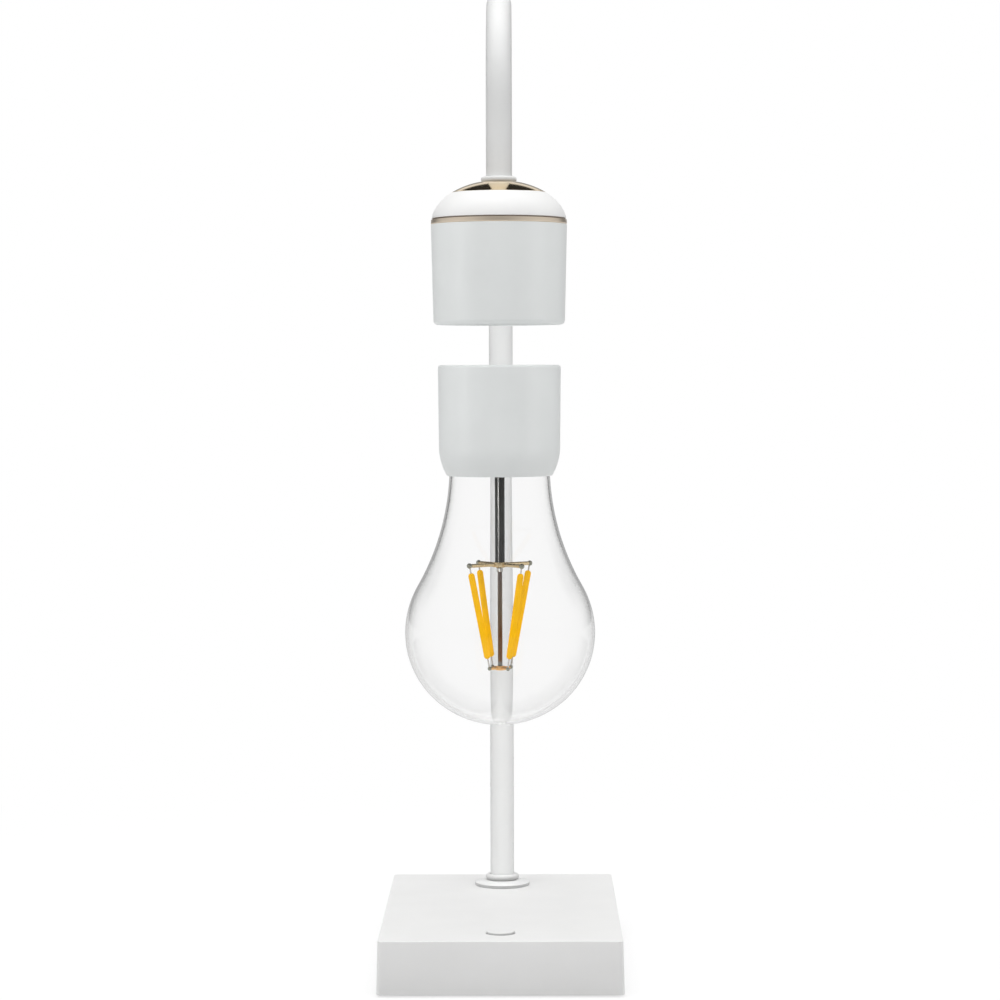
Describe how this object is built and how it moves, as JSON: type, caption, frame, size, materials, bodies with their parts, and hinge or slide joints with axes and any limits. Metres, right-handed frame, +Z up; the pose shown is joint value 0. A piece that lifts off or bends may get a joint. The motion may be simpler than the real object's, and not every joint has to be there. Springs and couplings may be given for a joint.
{
  "type": "levitating table lamp",
  "caption": "Levitating table lamp: a clear filament bulb floats under an electromagnet head held by an arched tube above a flat base with a push button.",
  "frame": {"origin": "on the table under the middle of the base", "axes": "+Z up, front of the lamp towards -Y, +X to the right as seen from the front"},
  "size_m": [0.0764, 0.1208, 0.3146],
  "materials": {
    "white_plastic": "satin",
    "white_paint": "satin",
    "gold": "polished",
    "glass": "clear",
    "steel": "plain",
    "plate_plastic": "moulded",
    "foot_rubber": "matte",
    "board": "solder mask",
    "black_plastic": "moulded",
    "ivory_plastic": "moulded",
    "copper": "enamelled wire",
    "cable": "sheath",
    "lead": "sheath",
    "nickel": "plated",
    "silicone": "translucent",
    "stem_metal": "polished",
    "rod_metal": "drawn wire",
    "bar_metal": "plated",
    "solder": "dull",
    "phosphor": "coated"
  },
  "bodies": {
    "lamp": {"base_shell": "white_plastic", "bottom_plate": "plate_plastic", "case_screws": "steel", "rubber_feet": "foot_rubber", "ballast": "steel", "control_board": "board", "board_parts": "black_plastic", "board_screws": "steel", "dc_jack": "black_plastic", "tact_switch": "black_plastic", "switch_board": "board", "switch_screws": "steel", "switch_lead": "lead", "pole_flange": "white_paint", "pole_collar": "white_paint", "pole_tube": "white_paint", "pole_washer": "steel", "pole_nut": "steel", "pole_cable": "cable", "head_collar": "white_paint", "head_crown": "gold", "head_dome": "white_plastic", "head_washer": "steel", "head_nut": "steel", "head_ring": "gold", "head_shell": "white_plastic", "coil_spool": "ivory_plastic", "coil_winding": "copper", "magnet_core": "steel", "sensor_board": "board", "sensor_parts": "black_plastic", "hall_sensor": "black_plastic", "transmit_coil": "copper"},
    "button": {"power_button": "white_plastic", "switch_plunger": "black_plastic"},
    "float": {"bulb_magnet": "nickel"},
    "bulb": {"bulb_cap": "white_plastic", "pickup_coil": "copper", "magnet_tray": "ivory_plastic", "driver_board": "board", "driver_parts": "black_plastic", "stem_plug": "ivory_plastic", "neck_seal": "silicone", "glass_bulb": "glass", "stem_tube": "stem_metal", "support_rod": "rod_metal", "upper_cross": "bar_metal", "lower_cross": "bar_metal", "solder_beads": "solder", "filaments": "phosphor", "filament_tabs": "solder"}
  },
  "joints": [
    {"name": "button_press", "type": "slide", "parent": "lamp", "child": "button", "axis": [0, 0, -1], "range_m": [0, 0.0005], "stiffness_N_per_m": 1500, "springref_m": -0.0005},
    {"name": "bulb_lift", "type": "slide", "parent": "lamp", "child": "float", "axis": [0, 0, 1], "range_m": [-0.058, 0.0124], "stiffness_N_per_m": 80, "springref_m": 0.0094},
    {"name": "bulb_spin", "type": "hinge", "parent": "float", "child": "bulb", "pos_m": [0, -0.0282, 0.175], "axis": [0, 0, 1], "continuous": true}
  ]
}
